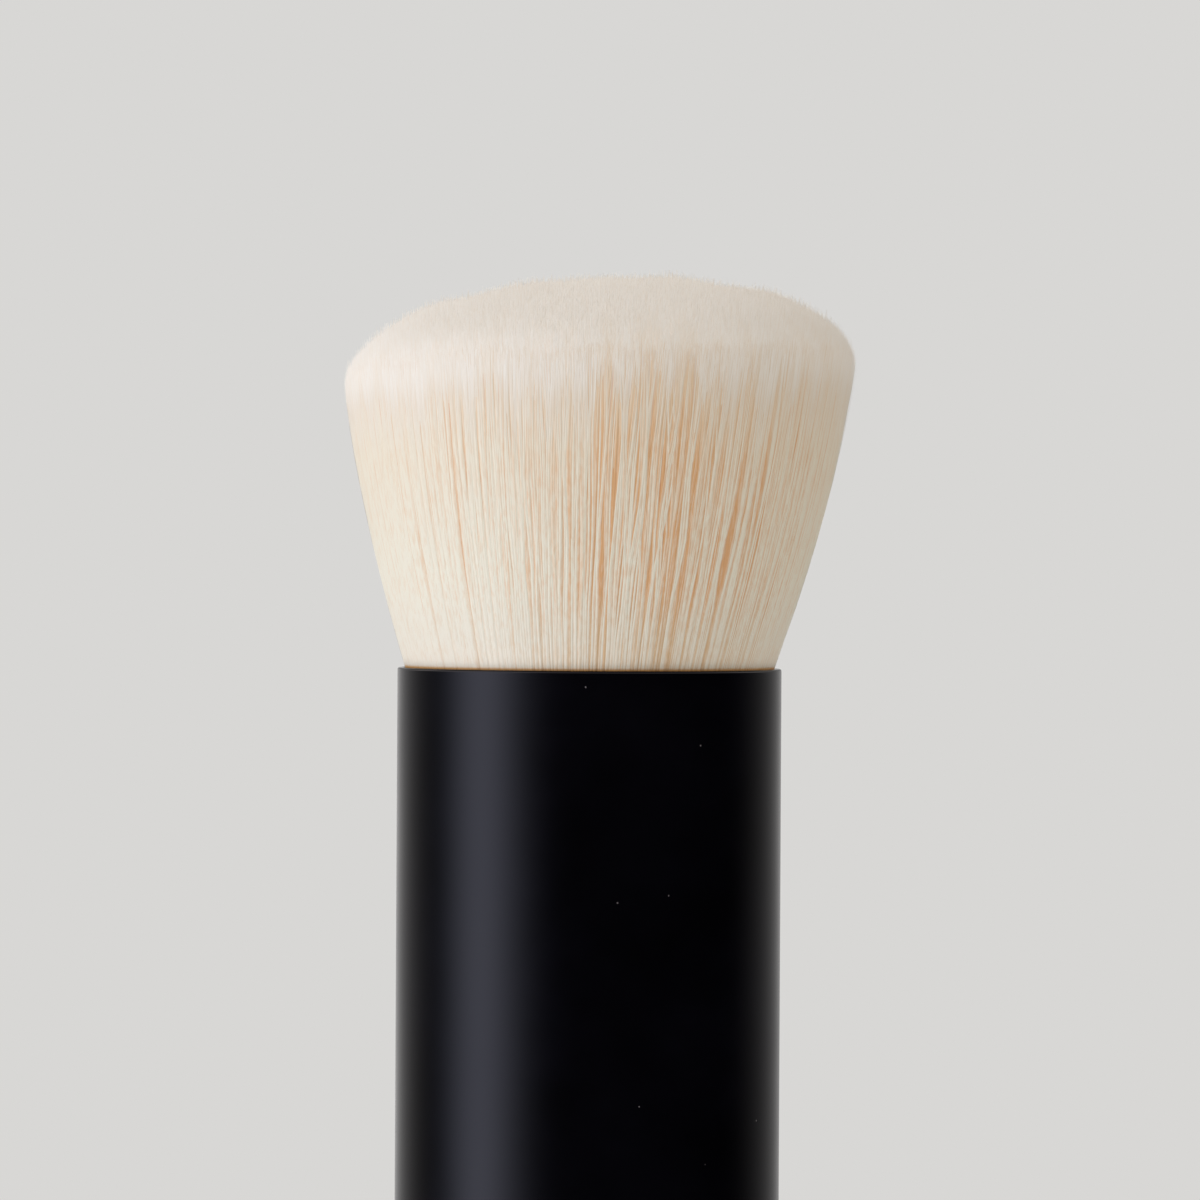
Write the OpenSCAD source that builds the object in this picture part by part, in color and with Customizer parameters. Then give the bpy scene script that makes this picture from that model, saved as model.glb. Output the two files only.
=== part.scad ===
// A short, dense makeup brush that stands on the end of its barrel. A round head of soft
// filaments flares out of a plain drawn tube and closes in a low dome. A weighted core inside
// the tube keeps the brush upright, and a plug with a blank inlay closes its foot.
// Millimetres. The origin is the centre of the underside, and +Z runs up the barrel.

/* [Barrel] */
// Outside diameter of the barrel
barrel_d = 24; // [20:0.5:28]
// Height of the rim above the underside
rim_h = 72; // [64:1:110]
// Wall of the drawn tube
shell_wall = 0.4; // [0.3:0.05:0.6]
// Radius on both edges of the rim
rim_edge_r = 0.12; // [0.05:0.01:0.14]
// Chamfer on the tube's lower edge
shell_chamfer = 0.2; // [0.05:0.05:0.25]

/* [Head] */
// Height of the dome above the rim
head_h = 25; // [20:0.5:34]
// Widest diameter of the head
head_d = 32.2; // [28:0.2:38]
// Height of the rounded shoulder, from the widest place to the top of the dome
shoulder_h = 6.7; // [4:0.1:9]
// How far the head leans toward +X at its widest place
head_lean = 0.4; // [0:0.05:1]
// How much higher the edge of the dome stands toward +X than it would if it were level
crown_tilt = 0.6; // [0:0.1:1.5]
// Number of strands
strand_count = 300; // [300:2:320]
// Length of a strand's pointed tip
tip_len = 1.6; // [1:0.1:3]
// How much the strands' ends vary in height, up or down
tip_scatter = 0.3; // [0:0.05:0.8]

/* [Knot] */
// Depth of the resin's top below the rim
root_depth = 6; // [4:0.5:9]
// Height of the resin from its underside to its top
knot_h = 7.8; // [6:0.2:9]
// Height of the top slice of resin, which the strands are fused to
slice_h = 1.2; // [0.8:0.1:2]
// Height of the thread band around the roots
thread_h = 2; // [1:0.2:3]
// Thickness of the thread band
thread_t = 0.5; // [0.3:0.1:0.8]
// Thickness of the glue around and under the knot
glue_t = 0.15; // [0.1:0.05:0.3]

/* [Socket] */
// Wall of the socket around the knot
cup_wall = 1.2; // [0.8:0.1:2]
// Thickness of the socket's floor
cup_floor_t = 2; // [1.2:0.1:3]
// Length of the spigot under the socket that enters the core
cup_spigot_l = 2; // [1:0.2:4]

/* [Core] */
// Wall of the core tube around the weight
core_wall = 1.65; // [1.2:0.05:2.2]
// Width of the ledge that stops the weight from rising
core_ledge_w = 1.4; // [0.8:0.1:3]
// Chamfer that leads the core tube's upper end into the shell
core_chamfer = 0.4; // [0.1:0.1:0.8]
// Length of the steel weight
weight_l = 20; // [10:1:26]
// Gap around the steel weight
weight_gap = 0.5; // [0.2:0.1:1]
// Chamfer that leads the weight's upper end into the core tube
weight_chamfer = 0.6; // [0.2:0.1:1.5]
// Thickness of each foam pad
pad_t = 1.5; // [1:0.1:2.5]

/* [Foot] */
// Height of the plug's flange below the tube
flange_h = 1.2; // [1:0.1:2.5]
// How far the flange stands back from the barrel's outside
flange_inset = 0.15; // [0.05:0.05:0.5]
// Chamfer on the flange's lower edge
flange_chamfer = 0.4; // [0.1:0.1:0.8]
// Length of the plug's spigot above the flange
plug_spigot_l = 8; // [6:0.5:12]
// Wall of the plug's spigot
plug_wall = 1.5; // [1:0.1:2]
// Thickness of the plug's floor
plug_floor_t = 1.5; // [1:0.1:2.5]
// Thickness of the plug's cross web
web_t = 1.2; // [0.8:0.1:2]
// How far the cross web stops below the top of the spigot
web_drop = 1; // [0.2:0.2:3]
// Height of the snap bead's middle above the flange
bead_rise = 4.5; // [3:0.25:4.75]
// How far the snap bead stands out
bead_out = 0.25; // [0.1:0.05:0.4]
// Width of the snap bead's root
bead_w = 1.2; // [0.8:0.1:1.6]
// Width of the flat ring that the brush stands on, with its chamfer
foot_ring_w = 2.65; // [2:0.05:4]
// Thickness of the inlay disc
disc_t = 0.6; // [0.4:0.1:1]
// Chamfer on the inlay disc's lower edge
disc_chamfer = 0.15; // [0.05:0.05:0.3]
// How far the disc's face is sunk above the foot
disc_sunk = 0.2; // [0.1:0.1:0.5]
// Thickness of the adhesive film behind the disc
tape_t = 0.1; // [0.05:0.05:0.2]

/* [Fits] */
// Gap all round between pieces that push or glue together
fit_gap = 0.05; // [0.02:0.01:0.1]
// Gap between the outermost strands and what stands round them
strand_gap = 0.1; // [0.05:0.05:0.3]

/* [Hidden] */
$fn = 96;

// Radii, from the outside of the barrel inward
barrel_r = barrel_d / 2;
shell_bore_r = barrel_r - shell_wall;
core_r = shell_bore_r - fit_gap;
core_bore_r = core_r - core_wall;
core_neck_r = core_bore_r - core_ledge_w;
weight_r = core_bore_r - weight_gap;
pad_r = core_bore_r - fit_gap;
plug_spigot_r = core_bore_r - fit_gap;
plug_inner_r = plug_spigot_r - plug_wall;
flange_r = barrel_r - flange_inset;
recess_r = flange_r - foot_ring_w;
disc_r = recess_r - fit_gap;
cup_bore_r = core_r - cup_wall;
knot_r = cup_bore_r - glue_t;
cup_spigot_r = core_neck_r - fit_gap;
thread_root_r = knot_r - thread_t;

// Heights, from the foot up
tape_z = disc_sunk + disc_t;
recess_h = tape_z + tape_t;
plug_floor_z = recess_h + plug_floor_t;
plug_top_z = flange_h + plug_spigot_l;
bead_z = flange_h + bead_rise;
weight_z = plug_top_z + pad_t;
upper_pad_z = weight_z + weight_l;
ledge_z = upper_pad_z + pad_t;
knot_top_z = rim_h - root_depth;
slice_z = knot_top_z - slice_h;
knot_z = knot_top_z - knot_h;
cup_floor_z = knot_z - glue_t;
cup_z = cup_floor_z - cup_floor_t;
thread_top_z = knot_z + thread_h;

// Every cut runs this far past the face that it opens
overrun = 0.5;

// Shape of the head. The flare bows outward by this share of a straight one, and the dome's
// outline is a superellipse of this power. The strands stand in layers around the axis, and each
// fills these shares of its place around its layer and across it.
flare_bow_share = 0.42;
dome_power_share = 2.5;
strand_fill_share = 0.92;
strand_depth_share = 0.6;
bend_height_share = 0.5;
golden_angle = 180 * (3 - sqrt(5));
scatter_seed = 7;
scatter_shares = rands(-1, 1, strand_count, scatter_seed);

// Corners of a strand around its middle, as shares of its depth outward and of half its width
// sideways: a ridge in front and two corners behind it
corner_shares = [[2 / 3, 0], [-1 / 3, 1], [-1 / 3, -1]];
strand_sides = len(corner_shares);
strand_rings = 5;
strand_points = strand_rings * strand_sides + 1;
arc_steps = 2;

// The innermost layer has this many strands, and the others as many as give each the same area
inner_strands = 3;
layer_count = floor(sqrt(strand_count / inner_strands));
layer_starts = [for (k = [0 : layer_count]) round(strand_count * pow(k / layer_count, 2))];

// Share of the head's radius at which each strand stands, its angle around the axis, and how many
// strands its layer has
strand_places = [
    for (k = [0 : layer_count - 1])
        let (count = layer_starts[k + 1] - layer_starts[k])
        for (j = [0 : count - 1])
            [(k + 0.5) / layer_count, k * golden_angle + j * 360 / count, count]
];

widest_h = head_h - shoulder_h;
throat_lane = lane(shell_bore_r - strand_gap);
head_lane = lane(head_d / 2);
root_lane = lane(knot_r - strand_gap);
root_sink = slice_h / 2;

// Points of an arc in the plane of a revolved outline, both ends included
function arc(centre, r, from, to) = [
    for (k = [0 : arc_steps])
        let (a = from + (to - from) * k / arc_steps)
        centre + r * [cos(a), sin(a)]
];

// Radius that the strands' shares are taken of, so that the outermost ridges meet envelope_r
function lane(envelope_r) =
    envelope_r * layer_count / (layer_count - 0.5 + corner_shares[0][0] * strand_depth_share);

// Lane radius at height h above the rim: a straight flare up to the rim, then a bowed one
function bowed(u) = u * (1 + flare_bow_share) - flare_bow_share * u * u;
function lane_at(h) = h > 0
    ? throat_lane + (head_lane - throat_lane) * bowed(h / widest_h)
    : throat_lane + (root_lane - throat_lane) * -h / root_depth;

// Height of strand i's end above the rim
function end_h(i) =
    let (out_share = strand_places[i][0], a = strand_places[i][1])
    widest_h + shoulder_h * sqrt(1 - pow(out_share, dome_power_share))
    + crown_tilt * out_share * cos(a) + tip_scatter * (scatter_shares[i] - 1);

// Middle of strand i at height h above the rim
function strand_mid(i, h) =
    let (a = strand_places[i][1], r = strand_places[i][0] * lane_at(h))
    [r * cos(a) + head_lean * max(h, 0) / widest_h, r * sin(a), rim_h + h];

// Corners around the middle of strand i at height h
function strand_ring(i, h) =
    let (
        a = strand_places[i][1],
        depth = strand_depth_share * lane_at(h) / layer_count,
        back_r = strand_places[i][0] * lane_at(h) + corner_shares[1][0] * depth,
        half_w = strand_fill_share * back_r * tan(180 / strand_places[i][2])
    )
    [
        for (corner = corner_shares)
            strand_mid(i, h)
            + corner[0] * depth * [cos(a), sin(a), 0]
            + corner[1] * half_w * [-sin(a), cos(a), 0]
    ];

// All points of strand i: rings inside the slice, on its top, at the rim, at the bend and below
// the tip, then the tip
function strand_outline(i) =
    let (
        end = end_h(i),
        shaft_end = end - tip_len,
        bend = shaft_end * bend_height_share,
        ring_heights = [-root_depth - root_sink, -root_depth, 0, bend, shaft_end]
    )
    concat([for (h = ring_heights) each strand_ring(i, h)], [strand_mid(i, end)]);

// Triangles of one strand, numbered from its first point
function strand_faces(first) =
    let (tip = first + strand_points - 1, last = first + (strand_rings - 1) * strand_sides)
    concat(
        [[first, first + 1, first + 2]],
        [
            for (j = [0 : strand_rings - 2], k = [0 : strand_sides - 1])
                let (
                    next = (k + 1) % strand_sides,
                    low = first + j * strand_sides,
                    high = low + strand_sides
                )
                each [[low + k, high + k, high + next], [low + k, high + next, low + next]]
        ],
        [for (k = [0 : strand_sides - 1]) [last + k, tip, last + (k + 1) % strand_sides]]
    );

// Drawn aluminium tube with softened rim edges
module barrel_shell() {
    edge_z = rim_h - rim_edge_r;
    color([0.07, 0.07, 0.08])
        rotate_extrude()
            polygon(concat(
                [
                    [shell_bore_r, flange_h],
                    [barrel_r - shell_chamfer, flange_h],
                    [barrel_r, flange_h + shell_chamfer]
                ],
                arc([barrel_r - rim_edge_r, edge_z], rim_edge_r, 0, 90),
                arc([shell_bore_r + rim_edge_r, edge_z], rim_edge_r, 90, 180)
            ));
}

// Filaments fused to the top slice of the resin that holds them
module bristles() {
    color([0.91, 0.86, 0.77])
        union() {
            translate([0, 0, slice_z])
                cylinder(h = slice_h, r = knot_r);
            polyhedron(
                points = [for (i = [0 : strand_count - 1]) each strand_outline(i)],
                faces = [for (i = [0 : strand_count - 1]) each strand_faces(i * strand_points)]
            );
        }
}

// Cast resin under the slice, narrower at its foot where the thread draws the roots in
module knot_resin() {
    color([0.72, 0.55, 0.30])
        rotate_extrude()
            polygon([
                [0, knot_z],
                [thread_root_r, knot_z],
                [thread_root_r, thread_top_z],
                [knot_r, thread_top_z],
                [knot_r, slice_z],
                [0, slice_z]
            ]);
}

// Thread wound tight around the roots before they are cast
module knot_thread() {
    color([0.93, 0.92, 0.88])
        translate([0, 0, knot_z])
            ring(knot_r, thread_root_r, thread_h);
}

// Glue that fills the gap between the knot and its socket
module socket_glue() {
    color([0.85, 0.70, 0.42])
        difference() {
            translate([0, 0, cup_floor_z])
                cylinder(h = knot_top_z - cup_floor_z, r = cup_bore_r);
            translate([0, 0, knot_z])
                cylinder(h = knot_h + overrun, r = knot_r);
        }
}

// Moulded cup that carries the knot, with a spigot that centres it on the core
module socket_cup() {
    color([0.20, 0.20, 0.22])
        difference() {
            union() {
                translate([0, 0, cup_z])
                    cylinder(h = knot_top_z - cup_z, r = core_r);
                translate([0, 0, cup_z - cup_spigot_l])
                    cylinder(h = cup_spigot_l + cup_floor_t / 2, r = cup_spigot_r);
            }
            translate([0, 0, cup_floor_z])
                cylinder(h = knot_top_z - cup_floor_z + overrun, r = cup_bore_r);
        }
}

// Moulded liner of the tube: a wide bore for plug and weight, a ledge, and a narrow neck
module core_tube() {
    color([0.25, 0.25, 0.27])
        rotate_extrude()
            polygon([
                [core_bore_r, flange_h],
                [core_r, flange_h],
                [core_r, cup_z - core_chamfer],
                [core_r - core_chamfer, cup_z],
                [core_neck_r, cup_z],
                [core_neck_r, ledge_z],
                [core_bore_r, ledge_z],
                [core_bore_r, bead_z + bead_w / 2],
                [core_bore_r + bead_out, bead_z],
                [core_bore_r, bead_z - bead_w / 2]
            ]);
}

// Foam pads that keep the weight from rattling
module upper_pad() {
    color([0.35, 0.35, 0.36])
        translate([0, 0, upper_pad_z])
            cylinder(h = pad_t, r = pad_r);
}

module lower_pad() {
    color([0.35, 0.35, 0.36])
        translate([0, 0, plug_top_z])
            cylinder(h = pad_t, r = pad_r);
}

// Turned steel weight
module weight_slug() {
    color([0.62, 0.63, 0.65])
        rotate_extrude()
            polygon([
                [0, weight_z],
                [weight_r, weight_z],
                [weight_r, upper_pad_z - weight_chamfer],
                [weight_r - weight_chamfer, upper_pad_z],
                [0, upper_pad_z]
            ]);
}

// Moulded plug: a flange that the brush stands on, and a snap spigot stiffened by a cross web
module base_plug() {
    web_l = plug_inner_r + plug_spigot_r;
    web_h = plug_top_z - web_drop - plug_floor_z;
    color([0.10, 0.10, 0.11])
        union() {
            rotate_extrude()
                polygon([
                    [recess_r, 0],
                    [flange_r - flange_chamfer, 0],
                    [flange_r, flange_chamfer],
                    [flange_r, flange_h],
                    [plug_spigot_r, flange_h],
                    [plug_spigot_r, bead_z - bead_w / 2],
                    [plug_spigot_r + bead_out, bead_z],
                    [plug_spigot_r, bead_z + bead_w / 2],
                    [plug_spigot_r, plug_top_z],
                    [plug_inner_r, plug_top_z],
                    [plug_inner_r, plug_floor_z],
                    [0, plug_floor_z],
                    [0, recess_h],
                    [recess_r, recess_h]
                ]);
            for (turn = [0, 90])
                rotate(turn)
                    translate([-web_l / 2, -web_t / 2, plug_floor_z - plug_floor_t / 2])
                        cube([web_l, web_t, web_h + plug_floor_t / 2]);
        }
}

// Adhesive film between the plug and the inlay
module base_tape() {
    color([0.80, 0.80, 0.78])
        translate([0, 0, tape_z])
            cylinder(h = tape_t, r = disc_r);
}

// Blank inlay disc in the foot
module base_disc() {
    color([0.12, 0.12, 0.13])
        rotate_extrude()
            polygon([
                [0, disc_sunk],
                [disc_r - disc_chamfer, disc_sunk],
                [disc_r, disc_sunk + disc_chamfer],
                [disc_r, tape_z],
                [0, tape_z]
            ]);
}

// Flat ring that stands on z = 0
module ring(outer_r, inner_r, height) {
    difference() {
        cylinder(h = height, r = outer_r);
        translate([0, 0, -overrun])
            cylinder(h = height + 2 * overrun, r = inner_r);
    }
}

barrel_shell();
bristles();
knot_resin();
knot_thread();
socket_glue();
socket_cup();
core_tube();
upper_pad();
weight_slug();
lower_pad();
base_plug();
base_tape();
base_disc();
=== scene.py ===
"""Dresses the makeup brush: a head of fine ivory filaments in a matte black tube."""

import sys
import logging
import math
from dataclasses import dataclass
from enum import Enum

import bpy
import numpy as np
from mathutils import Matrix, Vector


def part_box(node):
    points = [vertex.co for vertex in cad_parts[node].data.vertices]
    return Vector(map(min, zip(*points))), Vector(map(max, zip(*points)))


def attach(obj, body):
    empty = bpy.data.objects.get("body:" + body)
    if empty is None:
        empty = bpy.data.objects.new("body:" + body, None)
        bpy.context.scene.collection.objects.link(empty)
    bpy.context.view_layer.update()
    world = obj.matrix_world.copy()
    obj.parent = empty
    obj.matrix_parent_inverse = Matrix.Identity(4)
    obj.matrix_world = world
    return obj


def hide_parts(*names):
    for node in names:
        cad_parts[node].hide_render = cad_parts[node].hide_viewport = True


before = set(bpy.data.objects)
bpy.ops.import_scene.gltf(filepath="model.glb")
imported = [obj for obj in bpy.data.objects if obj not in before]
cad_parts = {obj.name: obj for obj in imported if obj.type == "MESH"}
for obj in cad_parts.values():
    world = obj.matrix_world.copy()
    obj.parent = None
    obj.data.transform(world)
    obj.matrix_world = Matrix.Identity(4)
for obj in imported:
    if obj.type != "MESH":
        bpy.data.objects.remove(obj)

LOG = logging.getLogger("brush")
MM = 0.001
BODY = "root"
FILAMENT_MAP = "OFBake"
BACKDROP = "#D8D7D5"
# One ridge of Blender's wave texture spans this much at a scale of 1
WAVE = math.tau / 20

Tree = bpy.types.NodeTree
Node = bpy.types.Node
Socket = bpy.types.NodeSocket
Array = np.ndarray
Stops = tuple[tuple[float, str], ...]
# A node's name, kind and settings, and for each linked input the earlier node that feeds it, with
# a dot and the name or number of its output where that isn't the first
Step = tuple[str, str, dict, dict]


def linear(colour: str) -> tuple[float, float, float, float]:
    """Turns an sRGB hex colour into Blender's linear values.

    Args:
        colour: The colour as "#RRGGBB".

    Returns:
        Linear red, green and blue, and an alpha of 1.
    """
    parts = [int(colour[i : i + 2], 16) / 255 for i in (1, 3, 5)]
    red, green, blue = (c / 12.92 if c <= 0.04045 else ((c + 0.055) / 1.055) ** 2.4 for c in parts)
    return red, green, blue, 1.0


def add_node(tree: Tree, kind: str, settings: dict | None = None, links: dict | None = None) -> Node:
    """Adds one node with its settings and the sockets that feed it.

    Args:
        tree: The node tree that gets the node.
        kind: The node's type, such as "ShaderNodeMath".
        settings: Attributes or input values by name or index; "stops" fills a colour ramp.
        links: The source socket of each input, by name or index.

    Returns:
        The new node.
    """
    node = tree.nodes.new(kind)
    for key, value in (settings or {}).items():
        if key == "stops":
            ramp = node.color_ramp.elements
            while len(ramp) < len(value):
                ramp.new(0.5)
            for element, (place, colour) in zip(ramp, value):
                element.position, element.color = place, linear(colour)
        elif isinstance(key, str) and hasattr(node, key):
            setattr(node, key, value)
        else:
            node.inputs[key].default_value = value
    for key, source in (links or {}).items():
        tree.links.new(source, node.inputs[key])
    return node


def millimetres(tree: Tree) -> Socket:
    """Gives the object's own coordinates in millimetres, so that patterns take real sizes.

    Args:
        tree: The material's node tree.

    Returns:
        A vector socket.
    """
    place = add_node(tree, "ShaderNodeTexCoord").outputs["Object"]
    settings = {"operation": "SCALE", "Scale": 1 / MM}
    return add_node(tree, "ShaderNodeVectorMath", settings, {0: place}).outputs["Vector"]


def smooth(value: Array, low: float, high: float) -> Array:
    """Rises from 0 at low to 1 at high, with no corner at either end."""
    share = np.clip((value - low) / (high - low), 0.0, 1.0)
    return share * share * (3 - 2 * share)


def neighbours(count: int) -> list[tuple[int, int]]:
    """Pairs each place on a ring with the next one round it."""
    return [(i, (i + 1) % count) for i in range(count)]


class Lay(Enum):
    """Which way the fine marks of a machined or blasted surface run."""

    BLASTED = "blasted"
    TURNED = "turned"


class Zone(Enum):
    """The part of the head that a set of filaments fills."""

    SIDE = "side"
    CROWN = "crown"


def output_of(nodes: dict[str, Node], source: str) -> Socket:
    """Finds the output that a step's link names, such as "parts.Z" or "mixed.2"."""
    name, _, output = source.partition(".")
    return nodes[name].outputs[int(output) if output.isdigit() else output or 0]


class Finish:
    """A surface finish that can make its own material."""

    name: str

    def steps(self) -> list[Step]:
        """Lists the finish's nodes, the last of them the shader; each finish has its own."""
        raise NotImplementedError

    def material(self) -> bpy.types.Material:
        """Makes the material by adding the finish's nodes one after the other.

        Returns:
            The finished material.
        """
        made = bpy.data.materials.new(self.name)
        made.use_nodes = True
        tree = made.node_tree
        tree.nodes.clear()
        nodes = {"place": millimetres(tree).node}
        for name, kind, settings, sources in self.steps():
            links = {key: output_of(nodes, source) for key, source in sources.items()}
            nodes[name] = add_node(tree, kind, settings, links)
        add_node(tree, "ShaderNodeOutputMaterial", {}, {"Surface": output_of(nodes, "shader")})
        return made


@dataclass(frozen=True)
class AnodisedAluminium(Finish):
    """Bead-blasted or turned aluminium, anodised and dyed black, then sealed.

    The dyed oxide is a clear ceramic skin over a light-eating dye, so it shines like a dielectric:
    a soft, slightly blue sheen on black, with no metal glint. Blast marks are about 0.03 mm wide,
    too fine to show, so their grain is drawn about five times as coarse.
    """

    name: str = "anodised_aluminium_blasted_black"
    dye: str = "#010103"
    haze: str = "#020208"
    dust: str = "#6E6A6C"
    tint: tuple[float, float, float, float] = (1.0, 0.93, 0.97, 1.0)
    roughness: float = 0.19
    grain_mm: float = 0.16
    patch_mm: float = 9.0
    speck_mm: float = 0.065
    speck_spacing_mm: float = 1.8
    clean_share: float = 0.62
    edge_mm: float = 0.13
    lay: Lay = Lay.BLASTED

    def steps(self) -> list[Step]:
        """Lays the dye, the blasted or turned grain, a little handling haze and stray dust.

        Returns:
            The finish's nodes.
        """
        noise = {"Scale": 1 / self.patch_mm, "Detail": 3.0, "Roughness": 0.6}
        haze = {"stops": ((0.35, self.dye), (0.75, self.haze))}
        spread = {"Scale": 1 / self.speck_spacing_mm, "Randomness": 1.0}
        size = self.speck_mm / self.speck_spacing_mm
        round_off = {"From Min": size, "From Max": 0.5 * size, "To Min": 0.0, "To Max": 1.0}
        choose = {"operation": "GREATER_THAN", 1: self.clean_share}
        dust = {"data_type": "RGBA", 7: linear(self.dust)}
        gloss = {"From Min": 0.3, "From Max": 0.7}
        gloss |= {"To Min": self.roughness - 0.02, "To Max": self.roughness + 0.03}
        links = {"Base Color": "colour.2", "Roughness": "sheen", "Normal": "bump"}
        steps = [
            ("patches", "ShaderNodeTexNoise", noise, {"Vector": "place"}),
            ("tone", "ShaderNodeValToRGB", haze, {0: "patches"}),
            ("specks", "ShaderNodeTexVoronoi", spread, {"Vector": "place"}),
            ("small", "ShaderNodeMapRange", round_off, {"Value": "specks"}),
            ("pick", "ShaderNodeSeparateColor", {}, {0: "specks.Color"}),
            ("some", "ShaderNodeMath", choose, {0: "pick"}),
            ("dusty", "ShaderNodeMath", {"operation": "MULTIPLY"}, {0: "small", 1: "some"}),
            ("colour", "ShaderNodeMix", dust, {0: "dusty", 6: "tone"}),
            ("sheen", "ShaderNodeMapRange", gloss, {"Value": "patches"}),
        ]
        if self.lay is Lay.BLASTED:
            # The oxide is thin and matt on the rim's rounded edge, which keeps a bright line off it
            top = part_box("barrel_shell")[1].z / MM
            fade = {"From Min": top - self.edge_mm, "From Max": top - 0.5 * self.edge_mm}
            fade |= {"To Min": 0.5, "To Max": 0.03}
            noise = {"Scale": 1 / self.grain_mm, "Detail": 2.0}
            steps += [
                ("parts", "ShaderNodeSeparateXYZ", {}, {0: "place"}),
                ("edge", "ShaderNodeMapRange", fade, {"Value": "parts.Z"}),
                ("grain", "ShaderNodeTexNoise", noise, {"Vector": "place"}),
            ]
            links["Specular IOR Level"] = "edge"
        else:
            rings = {"wave_type": "RINGS", "rings_direction": "Z"}
            rings |= {"Scale": 0.5 / self.grain_mm, "Distortion": 0.4, "Detail": 2.0}
            steps.append(("grain", "ShaderNodeTexWave", rings, {"Vector": "place"}))
        height = "grain" if self.lay is Lay.BLASTED else "grain.Fac"
        depth = {"Strength": 0.04, "Distance": 0.02 * MM}
        shader = {"IOR": 1.5, "Specular Tint": self.tint}
        return steps + [
            ("bump", "ShaderNodeBump", depth, {"Height": height}),
            ("shader", "ShaderNodeBsdfPrincipled", shader, links),
        ]


@dataclass(frozen=True)
class TaperedFilament(Finish):
    """Crimped synthetic filament, drawn and chemically tapered to a fine tip.

    Solid filament looks ivory. The deep stops paint the peach of light that has crossed many
    filaments, and the shade of the slits, into the colour of the deeper filaments. The roots hold a
    golden line of resin, partly painted shade where they meet the rim, and the tips are too thin to
    hold colour, so the crown turns to a pale felt. Stops are shares of the way from the rim to the tip.
    """

    name: str = "synthetic_filament_tapered_ivory"
    roughness: float = 0.42
    leak_mm: float = 0.17
    run_mm: float = 4.5
    leak_share: float = 0.17
    surface: Stops = (
        # The first stops are the golden line at the roots: resin, and painted shade where the rim meets
        # them
        (0.001, "#BC823E"),
        (0.005, "#E6B97E"),
        (0.009, "#F8EEDC"),
        (0.09, "#F4EDDC"),
        (0.32, "#F5EFDC"),
        (0.72, "#F4EAD5"),
        (0.89, "#F2E8D8"),
        (1.00, "#F8F3EA"),
    )
    # Painted shade and painted scattered light: peach for filaments deep in the slits, golden at the roots
    deep: Stops = (
        (0.001, "#9C662B"),
        (0.010, "#E8C59C"),
        (0.10, "#E3C198"),
        (0.27, "#E8B482"),
        (0.66, "#E8B684"),
        (0.84, "#EFD2AE"),
        (1.00, "#EBDDC9"),
    )

    def steps(self) -> list[Step]:
        """Colours each filament by its depth in the head and the place along its length.

        Returns:
            The finish's nodes.
        """
        # Light leaks through a filament by more or less along its way, in runs a few millimetres long
        stretch = {"operation": "MULTIPLY", 1: (1 / self.leak_mm, 1 / self.leak_mm, 1 / self.run_mm)}
        swing = {"From Min": 0.35, "From Max": 0.65, "To Min": -self.leak_share, "To Max": self.leak_share}
        add = {"operation": "ADD", "use_clamp": True}
        colours = {0: "shade", 6: "inner", 7: "outer"}
        shader = {"Roughness": self.roughness, "IOR": 1.5}
        return [
            ("laid", "ShaderNodeUVMap", {"uv_map": FILAMENT_MAP}, {}),
            ("parts", "ShaderNodeSeparateXYZ", {}, {0: "laid"}),
            ("outer", "ShaderNodeValToRGB", {"stops": self.surface}, {0: "parts.Y"}),
            ("inner", "ShaderNodeValToRGB", {"stops": self.deep}, {0: "parts.Y"}),
            ("stretched", "ShaderNodeVectorMath", stretch, {0: "place"}),
            ("leaks", "ShaderNodeTexNoise", {"Scale": 1.0, "Detail": 2.0}, {"Vector": "stretched"}),
            ("drift", "ShaderNodeMapRange", swing, {"Value": "leaks"}),
            ("shade", "ShaderNodeMath", add, {0: "parts.X", 1: "drift"}),
            ("mixed", "ShaderNodeMix", {"data_type": "RGBA"}, colours),
            ("shader", "ShaderNodeBsdfPrincipled", shader, {"Base Color": "mixed.2"}),
        ]


@dataclass(frozen=True)
class FilamentMass(Finish):
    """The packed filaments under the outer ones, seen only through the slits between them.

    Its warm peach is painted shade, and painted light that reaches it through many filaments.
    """

    name: str = "synthetic_filament_packed_peach"
    warm: str = "#E2A470"
    pale: str = "#ECC092"
    crown: str = "#EFE4D6"
    crown_mm: tuple[float, float] = (86.0, 91.0)
    thread_mm: float = 0.14
    run_mm: float = 9.0

    def steps(self) -> list[Step]:
        """Draws long fine streaks up the mass.

        Returns:
            The finish's nodes.
        """
        across = 0.5 / self.thread_mm
        stretch = {"operation": "MULTIPLY", 1: (across, across, 1 / self.run_mm)}
        low, high = self.crown_mm
        # The streaks paint the shade and scattered light of the slits
        stops = {"stops": ((0.35, self.warm), (0.65, self.pale))}
        pale = {"data_type": "RGBA", 7: linear(self.crown)}
        links = {"Base Color": "mixed.2", "Normal": "bump"}
        return [
            ("stretched", "ShaderNodeVectorMath", stretch, {0: "place"}),
            ("streaks", "ShaderNodeTexNoise", {"Scale": 1.0, "Detail": 2.0}, {"Vector": "stretched"}),
            ("tone", "ShaderNodeValToRGB", stops, {0: "streaks"}),
            ("parts", "ShaderNodeSeparateXYZ", {}, {0: "place"}),
            ("top", "ShaderNodeMapRange", {"From Min": low, "From Max": high}, {"Value": "parts.Z"}),
            ("mixed", "ShaderNodeMix", pale, {0: "top", 6: "tone"}),
            ("bump", "ShaderNodeBump", {"Strength": 0.1, "Distance": 0.03 * MM}, {"Height": "streaks"}),
            ("shader", "ShaderNodeBsdfPrincipled", {"Roughness": 0.6}, links),
        ]


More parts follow.
